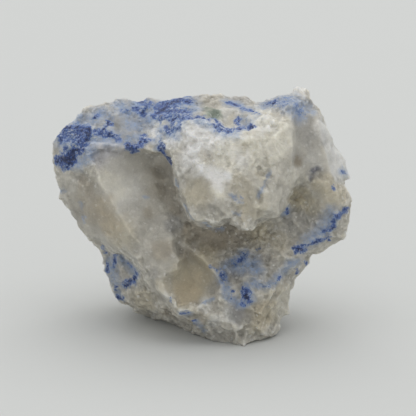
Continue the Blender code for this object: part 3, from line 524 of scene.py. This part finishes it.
    (WOVEN, 0.8, [(7.5, 9.2), (7.8, 7.7)]), (WOVEN, 0.4, [(7.2, 7.0), (8.4, 7.1)]),
    (WOVEN, 0.2, [(5.2, 8.0), (5.4, 8.7)]), (WOVEN, 0.15, [(6.2, 9.7), (6.5, 9.5)]),
    (WOVEN, 0.15, [(9.4, 9.3), (9.8, 9.5)]), (WOVEN, 0.2, [(10.8, 9.9), (11.2, 10.0)]),
    (ROYAL, 0.6, [(7.4, 9.3), (7.6, 8.2), (8.1, 7.5)]), (NAVY, 0.7, [(7.5, 8.8), (7.8, 8.1)]),
    (ROYAL, 0.3, [(5.3, 9.0), (5.8, 9.3)]),
    # Under the scoop.
    (HAZE, 0.5, [(-3.3, 5.3), (-1.7, 5.3)]), (HAZE, 0.5, [(-0.7, 4.0), (0.5, 2.7)]),
    (HAZE, 0.3, [(0.5, 7.3), (2.0, 7.8)]), (LOOSE, 0.35, [(-3.2, 5.5), (-2.0, 5.5)]),
    (WOVEN, 0.3, [(-1.2, 4.3), (-0.8, 3.7)]), (WOVEN, 0.2, [(-5.2, 8.0), (-4.8, 7.3)]),
    # The lump under the wing.
    (HAZE, 1.0, [(-15.0, 14.0), (-14.7, 12.2), (-14.3, 10.7)]),
    (HAZE, 0.8, [(-13.0, 14.7), (-11.7, 13.3), (-10.7, 12.2)]), (HAZE, 0.7, [(-13.7, 9.0), (-13.3, 8.2)]),
    (WOVEN, 0.35, [(-14.0, 15.2), (-14.3, 14.0), (-14.5, 13.0)]),
    (WOVEN, 0.5, [(-15.5, 13.8), (-15.5, 12.5)]), (WOVEN, 0.3, [(-16.2, 16.5), (-15.8, 15.7)]),
    (WOVEN, 0.3, [(-11.8, 13.7), (-11.5, 13.3)]), (WOVEN, 0.3, [(-10.8, 12.5), (-10.5, 12.0)]),
    (WOVEN, 0.7, [(-12.5, 10.2), (-11.2, 10.8)]), (WOVEN, 0.25, [(-14.2, 10.0), (-14.0, 9.5)]),
    (WOVEN, 0.45, [(-13.6, 8.1), (-13.0, 7.8)]), (ROYAL, 0.3, [(-14.2, 15.0), (-14.2, 14.3)]),
    (ROYAL, 0.5, [(-12.2, 10.3), (-11.2, 11.0), (-10.7, 11.5)]), (ROYAL, 0.2, [(-14.0, 10.0), (-13.9, 9.8)]),
    (ROYAL, 0.35, [(-13.4, 8.0), (-13.1, 7.9)]),
    # Faint clouds in the shell and down the left edge.
    (HAZE, 0.3, [(-9.3, 24.8), (-8.6, 24.8)]), (HAZE, 0.3, [(-19.4, 21.6), (-19.5, 20.9)]),
    (HAZE, 0.25, [(-20.0, 23.8), (-19.8, 23.2)]), (HAZE, 0.3, [(-23.0, 26.0), (-22.6, 25.7)]),
]
# On the far side, laid on from behind: the mass runs over the rim, and a vein crosses the back.
FAR_STROKES = [
    (HAZE, 1.6, [(-21.0, 34.5), (-18.5, 33.5), (-16.5, 31.0)]), (WOVEN, 1.0, [(-21.5, 33.5), (-19.5, 32.5)]),
    (NAVY, 0.6, [(-21.5, 32.0), (-20.0, 32.5)]), (WOVEN, 0.6, [(-17.0, 31.5), (-16.0, 30.0)]),
    (HAZE, 0.9, [(-14.0, 28.5), (-11.5, 27.5), (-9.5, 25.5)]), (HAZE, 0.7, [(-7.5, 26.0), (-4.5, 24.5)]),
    (WOVEN, 0.6, [(-14.5, 28.8), (-13.0, 27.5), (-11.5, 27.5)]), (WOVEN, 0.3, [(-10.5, 26.0), (-9.5, 25.0)]),
    (ROYAL, 0.4, [(-13.0, 28.0), (-12.0, 27.5)]), (WOVEN, 0.5, [(-8.0, 26.5), (-6.5, 25.5)]),
    (ROYAL, 0.3, [(-7.5, 26.2), (-6.5, 25.8)]), (WOVEN, 0.3, [(-9.5, 23.5), (-9.0, 22.8)]),
    (WOVEN, 0.4, [(-4.0, 24.5), (-3.0, 22.5), (-2.5, 22.0)]), (HAZE, 0.7, [(-2.0, 21.5), (0.0, 19.0)]),
    (HAZE, 1.8, [(-2.5, 37.0), (0.5, 35.5)]), (WOVEN, 0.9, [(-2.5, 37.5), (-0.5, 36.5)]),
    (ROYAL, 0.5, [(-2.0, 38.0), (-1.0, 37.0)]), (HAZE, 1.5, [(11.0, 36.5), (14.0, 35.0), (16.0, 32.5)]),
    (WOVEN, 0.8, [(11.0, 37.0), (12.5, 36.0), (14.0, 34.8)]), (ROYAL, 0.5, [(12.0, 36.6), (13.0, 35.6)]),
    (WOVEN, 0.4, [(15.5, 32.5), (16.5, 31.5)]), (HAZE, 1.0, [(20.5, 22.0), (18.5, 20.0)]),
    (WOVEN, 0.6, [(20.0, 21.5), (19.0, 20.5)]), (HAZE, 1.2, [(9.0, 15.5), (11.0, 13.5), (11.5, 11.0)]),
    (WOVEN, 0.6, [(9.5, 15.5), (10.5, 14.5)]), (WOVEN, 0.5, [(11.5, 12.0), (11.8, 10.5)]),
    (HAZE, 0.9, [(-6.5, 10.5), (-8.0, 8.5)]), (WOVEN, 0.5, [(-6.5, 10.0), (-7.5, 9.0)]),
    (HAZE, 0.9, [(-14.5, 12.0), (-15.5, 14.0)]), (WOVEN, 0.5, [(-15.0, 12.5), (-15.5, 13.5)]),
    (WOVEN, 0.4, [(3.5, 28.5), (4.5, 28.0)]), (HAZE, 0.9, [(3.0, 28.8), (5.5, 27.8)]),
]
# How far a stroke spreads past its half width as it fades, how sharp its edge is, how its edge is frayed, and
# how far apart the places along it are.
SPREAD = 1.6
STROKE_EDGE = 1.1
FRAYING = (0.8, 0.5)
STEP = 0.35

needles = np.zeros(count)
haze = np.zeros(count)
frayed = bent(*FRAYING)


def steps_along(run):
    """The places along a stroke, from point to point."""
    places = []
    for start, end in zip(run, run[1:]):
        parts = max(1, round(math.dist(start, end) / STEP))
        for part in range(parts + 1):
            places.append([a + (b - a) * part / parts for a, b in zip(start, end)])
    return places


for found, strokes in ((on_front, BLUE_STROKES), (on_back, FAR_STROKES)):
    for strength, half_width, run in strokes:
        for spot in steps_along(run):
            near = patch(frayed, found(*spot), SPREAD * half_width, STROKE_EDGE)
            if strength == HAZE:
                haze = np.maximum(haze, near)
            else:
                needles = np.maximum(needles, near * strength)


def keep(name, values):
    """Keeps one number for every point of the skin, for the finish to read."""
    stone.data.attributes.new(name, "FLOAT", "POINT").data.foreach_set("value", values)


keep("dumortierite", needles)
keep("blue_haze", haze)
keep("crushed", white)
keep("crumbly", crumbly)
keep("painted_relief_shading_fine", painted_relief_shading_fine)
keep("painted_relief_shading_broad", painted_relief_shading_broad)
shade = stone.data.attributes.new("quartz_colour", "FLOAT_COLOR", "POINT")
shade.data.foreach_set("color", np.hstack([colour, np.ones((count, 1))]).ravel())

# The stone: its finish.
# Glassy where the quartz is sound, glittering with small facets and painted glints where it is crushed. Light
# sinks into it a little way, and the blue shows as fine needles.

quartz = bpy.data.materials.new("milky_quartz_with_dumortierite")
quartz.use_nodes = True
nodes = quartz.node_tree.nodes
wire = quartz.node_tree.links.new
nodes.clear()


def node(kind, **settings):
    """Adds one node. A setting that names an input sets the input."""
    made = nodes.new(kind)
    for key, value in settings.items():
        if key in made.inputs:
            made.inputs[key].default_value = value
        else:
            setattr(made, key, value)
    return made


def plug(value, slot):
    """Joins a socket to a slot, or sets the slot to a number."""
    if isinstance(value, bpy.types.NodeSocket):
        wire(value, slot)
    else:
        slot.default_value = value


def worked_out(kind, first, second, clamp=False):
    """One step of arithmetic between two sockets or numbers."""
    made = node("ShaderNodeMath", operation=kind, use_clamp=clamp)
    plug(first, made.inputs[0])
    plug(second, made.inputs[1])
    return made.outputs[0]


def plus(first, *others):
    """The sum of sockets and numbers."""
    for other in others:
        first = worked_out("ADD", first, other)
    return first


def times(first, second, clamp=False):
    """One socket or number times another, and kept from 0 to 1 where it is clamped."""
    return worked_out("MULTIPLY", first, second, clamp)


def over(value, level, gain):
    """How far a value is over a level, times a gain, and kept from 0 to 1."""
    return times(worked_out("SUBTRACT", value, level, clamp=True), gain, clamp=True)


def swing(value, amount):
    """A value from 0 to 1, made to swing by half an amount to both sides of nought."""
    return times(worked_out("SUBTRACT", value, 0.5), amount)


def mixed(kind, share, under, top):
    """A mix of two colours, which a mix node has at inputs 6 and 7 and at output 2."""
    made = node("ShaderNodeMix", data_type="RGBA", blend_type=kind)
    plug(share, made.inputs[0])
    plug(under, made.inputs[6])
    plug(top, made.inputs[7])
    return made.outputs[2]


def grain(per_metre, detail, rough):
    """Noise that has about that many spots in a metre of stone."""
    made = node("ShaderNodeTexNoise", Scale=per_metre, Detail=detail, Roughness=rough)
    wire(place.outputs["Object"], made.inputs["Vector"])
    return made.outputs["Fac"]


def read(name, output="Fac"):
    """What the skin keeps under a name."""
    return node("ShaderNodeAttribute", attribute_name=name).outputs[output]


def facets(per_metre, shift):
    """Small broken faces, each with its own tilt: their height, and a number from 0 to 1 that each has."""
    shifted = node("ShaderNodeVectorMath", operation="ADD")
    wire(place.outputs["Object"], shifted.inputs[0])
    shifted.inputs[1].default_value = shift
    cells = node("ShaderNodeTexVoronoi", feature="F1", Scale=per_metre, Randomness=1.0)
    wire(shifted.outputs[0], cells.inputs["Vector"])
    offset = node("ShaderNodeVectorMath", operation="SUBTRACT")
    wire(shifted.outputs[0], offset.inputs[0])
    wire(cells.outputs["Position"], offset.inputs[1])
    tilt = node("ShaderNodeVectorMath", operation="SUBTRACT")
    wire(cells.outputs["Color"], tilt.inputs[0])
    tilt.inputs[1].default_value = (0.5, 0.5, 0.5)
    slope = node("ShaderNodeVectorMath", operation="DOT_PRODUCT")
    wire(offset.outputs[0], slope.inputs[0])
    wire(tilt.outputs[0], slope.inputs[1])
    own = node("ShaderNodeSeparateColor")
    wire(cells.outputs["Color"], own.inputs[0])
    return slope.outputs["Value"], own.outputs[0]


place = node("ShaderNodeTexCoord")
body = read("quartz_colour", "Color")
crush = read("crushed")
matted = read("dumortierite")
loose = read("crumbly")

# The crumbs of the quartz: facets of two sizes, soft clouds and fine speckle, each as so many in a metre. The
# fine facets are shifted, so that their corners don't fall on those of the broad ones.
BROAD_FACETS = 1100.0
FINE_FACETS = 2600.0
FINE_SHIFT = (0.013, 0.0091, 0.0169)
CLOUDS = 420.0
SPECKLE = 3600.0
broad_slope, broad_tone = facets(BROAD_FACETS, (0.0, 0.0, 0.0))
fine_slope, fine_tone = facets(FINE_FACETS, FINE_SHIFT)
clouds = grain(CLOUDS, detail=3.0, rough=0.5)
speckle = grain(SPECKLE, detail=4.0, rough=0.75)

# How light the quartz is: the least of it, and what each grain adds. Edges get painted light, and cracks
# painted shade.
LEAST_LIGHT = 0.52
CLOUD_LIGHT = 0.35
SPECKLE_LIGHT = 0.40
BROAD_FACET_LIGHT = 0.06
FINE_FACET_LIGHT = 0.14
FINE_PAINTED_RELIEF_SHADING = 1.5
BROAD_PAINTED_RELIEF_SHADING = 0.30
PAINTED_RELIEF_ON_SMOOTH = 0.3
PAINTED_RELIEF_ON_CRUMBS = 0.7
light = plus(times(clouds, CLOUD_LIGHT), times(speckle, SPECKLE_LIGHT))
light = plus(light, times(times(broad_tone, loose), BROAD_FACET_LIGHT))
light = plus(light, times(times(fine_tone, loose), FINE_FACET_LIGHT))
# Painted light on the edges and painted shade in the cracks, laid into the colour.
edges = plus(times(read("painted_relief_shading_fine"), FINE_PAINTED_RELIEF_SHADING), times(read("painted_relief_shading_broad"), BROAD_PAINTED_RELIEF_SHADING))
light = plus(light, times(edges, plus(times(loose, PAINTED_RELIEF_ON_CRUMBS), PAINTED_RELIEF_ON_SMOOTH)))
light = plus(light, LEAST_LIGHT)
lit = node("ShaderNodeCombineColor")
for slot in lit.inputs:
    wire(light, slot)
toned = mixed("MULTIPLY", 1.0, body, lit.outputs[0])

# White powder on the crushed quartz, and a painted glint on a facet here and there: a highlight laid into the
# colour as white.
POWDER_WHITE = (0.84, 0.83, 0.80, 1.0)
POWDER_SHARE = 0.5
PAINTED_GLINT_WHITE = (0.90, 0.90, 0.88, 1.0)
PAINTED_GLINT_ON_SMOOTH = 0.15
PAINTED_GLINT_ON_CRUMBS = 0.45
snow = over(speckle, level=0.40, gain=4.0)
toned = mixed("MIX", times(times(snow, crush), POWDER_SHARE), toned, POWDER_WHITE)
painted_glint_spots = over(fine_tone, level=0.91, gain=10.0)
painted_glint = times(painted_glint_spots, plus(times(loose, PAINTED_GLINT_ON_CRUMBS), PAINTED_GLINT_ON_SMOOTH))
toned = mixed("MIX", painted_glint, toned, PAINTED_GLINT_WHITE)

# The blue, from a pale haze to matted navy. Tufts and hairs of needles fray it, and pale quartz shows through
# the gaps between them, though not where the blue is at its darkest.
TUFTS = 1500.0
HAIRS = 4200.0
GAPS = 2400.0
HAZE_BLUE = (0.33, 0.425, 0.60, 1.0)
HAZE_AT_LEAST = 0.72
DEPTH_AT_LEAST = 0.11
SOLID_BLUE = 1.15
BLUES = [
    (0.20, (0.32, 0.39, 0.52, 1.0)),
    (0.40, (0.20, 0.32, 0.60, 1.0)),
    (0.62, (0.105, 0.185, 0.45, 1.0)),
    (0.86, (0.050, 0.090, 0.265, 1.0)),
    (1.00, (0.026, 0.042, 0.12, 1.0)),
]
tuft = swing(grain(TUFTS, detail=4.0, rough=0.7), amount=1.1)
tuft = plus(tuft, swing(fine_tone, amount=0.35), swing(clouds, amount=0.9))
hair = swing(grain(HAIRS, detail=3.0, rough=0.7), amount=1.3)
fray = plus(tuft, hair)
misty = times(read("blue_haze"), plus(fray, HAZE_AT_LEAST), clamp=True)
toned = mixed("MIX", misty, toned, HAZE_BLUE)
depth = plus(plus(matted, DEPTH_AT_LEAST), fray)
ramp = node("ShaderNodeValToRGB")
stops = ramp.color_ramp.elements
palest, *others, darkest = BLUES
for stop, (position, blue) in ((stops[0], palest), (stops[1], darkest)):
    stop.position = position
    stop.color = blue
for position, blue in others:
    stops.new(position).color = blue
wire(depth, ramp.inputs[0])
gaps = over(grain(GAPS, detail=2.0, rough=0.5), level=0.56, gain=8.0)
gaps = times(gaps, worked_out("SUBTRACT", SOLID_BLUE, matted, clamp=True))
cover = times(over(depth, level=0.06, gain=1.8), worked_out("SUBTRACT", 1.0, gaps))
present = over(matted, level=0.02, gain=3.0)
stained = mixed("MIX", times(cover, present), toned, ramp.outputs[0])

# The gloss: sound breaks are glassy, crushed quartz is a little rougher.
DULL_SPOTS = 1500.0
DULL_SHARE = 0.35
DULL_ON_CRUMBS = 0.08
LEAST_DULL = 0.16
dull = times(grain(DULL_SPOTS, detail=4.0, rough=0.6), DULL_SHARE)
dull = plus(dull, times(loose, DULL_ON_CRUMBS), LEAST_DULL)

# The finest grain: small faces of two sizes, and a powder between them, in metres.
POWDER = 3800.0
POWDER_HEIGHT = 0.00022
FINE_FACET_TILT = 1.3
FACETS_ON_SMOOTH = 0.15
FACETS_ON_CRUMBS = 0.85
broken = plus(broad_slope, times(fine_slope, FINE_FACET_TILT))
broken = times(broken, plus(times(loose, FACETS_ON_CRUMBS), FACETS_ON_SMOOTH))
powder = swing(grain(POWDER, detail=5.0, rough=0.7), POWDER_HEIGHT)
bump = node("ShaderNodeBump", Strength=1.0, Distance=1.0)
wire(plus(broken, powder), bump.inputs["Height"])

# Light that enters sinks in a millimetre or so, and red light a little further than blue.
skin = node("ShaderNodeBsdfPrincipled", IOR=1.54)
skin.inputs["Subsurface Weight"].default_value = 0.65
skin.inputs["Subsurface Radius"].default_value = (1.0, 0.95, 0.85)
skin.inputs["Subsurface Scale"].default_value = 0.0014
wire(stained, skin.inputs["Base Color"])
wire(dull, skin.inputs["Roughness"])
wire(bump.outputs["Normal"], skin.inputs["Normal"])
wire(skin.outputs[0], node("ShaderNodeOutputMaterial").inputs["Surface"])
stone.data.materials.clear()
stone.data.materials.append(quartz)

# The table top.
# A plain pale sheet of paper that the stone stands on. It lies flat, and is wide enough to fill the view.

TABLE_REACH = 1.6
PAPER = (0.615, 0.627, 0.615, 1.0)
corners = [(x * TABLE_REACH, y * TABLE_REACH, 0.0) for x, y in ((-1, -1), (1, -1), (1, 1), (-1, 1))]
table_mesh = bpy.data.meshes.new("table_top")
table_mesh.from_pydata(corners, [], [(0, 1, 2, 3)])
table_top = bpy.data.objects.new("table_top", table_mesh)
bpy.context.scene.collection.objects.link(table_top)
paper = bpy.data.materials.new("pale_paper")
paper.use_nodes = True
sheet = paper.node_tree.nodes["Principled BSDF"]
sheet.inputs["Base Color"].default_value = PAPER
sheet.inputs["Roughness"].default_value = 0.9
sheet.inputs["Specular IOR Level"].default_value = 0.1
table_mesh.materials.append(paper)

# The light and the camera.
# A wide soft box hangs over the stone, a little behind it, and the pale walls of the room light it from all
# around. The camera looks a little down at it.

WALL_LIGHT = 0.59
SOFT_BOX_SIZE = 1.7
SOFT_BOX_POWER = 11.0
SOFT_BOX_PLACE = Vector((0.05, 0.26, 1.20))
LIT_PLACE = Vector((0.0, 0.0, 0.02))
room = bpy.data.worlds.new("room")
bpy.context.scene.world = room
room.use_nodes = True
room.node_tree.nodes["Background"].inputs["Color"].default_value = (1.0, 1.0, 1.0, 1.0)
room.node_tree.nodes["Background"].inputs["Strength"].default_value = WALL_LIGHT

box = bpy.data.lights.new("soft_box", "AREA")
box.size = SOFT_BOX_SIZE
box.energy = SOFT_BOX_POWER
lamp = bpy.data.objects.new("soft_box", box)
lamp.location = SOFT_BOX_PLACE
lamp.rotation_euler = (LIT_PLACE - SOFT_BOX_PLACE).to_track_quat("-Z", "Y").to_euler()
bpy.context.scene.collection.objects.link(lamp)

SENSOR = 36.0
PICTURE_PIXELS = 416.0
PIXELS_PER_MM = 6.0
PICTURE_WIDTH = PICTURE_PIXELS / PIXELS_PER_MM
camera = bpy.data.cameras.new("camera")
camera.sensor_width = SENSOR
camera.lens = SENSOR * VIEW_DISTANCE / PICTURE_WIDTH
camera.clip_start = 0.01
camera.clip_end = 10.0
eye = bpy.data.objects.new("camera", camera)
eye.matrix_world = Matrix.Translation(EYE * MM) @ TOWARDS_VIEWER.to_track_quat("Z", "Y").to_matrix().to_4x4()
bpy.context.scene.collection.objects.link(eye)
bpy.context.scene.camera = eye
bpy.context.scene.view_settings.view_transform = "Standard"
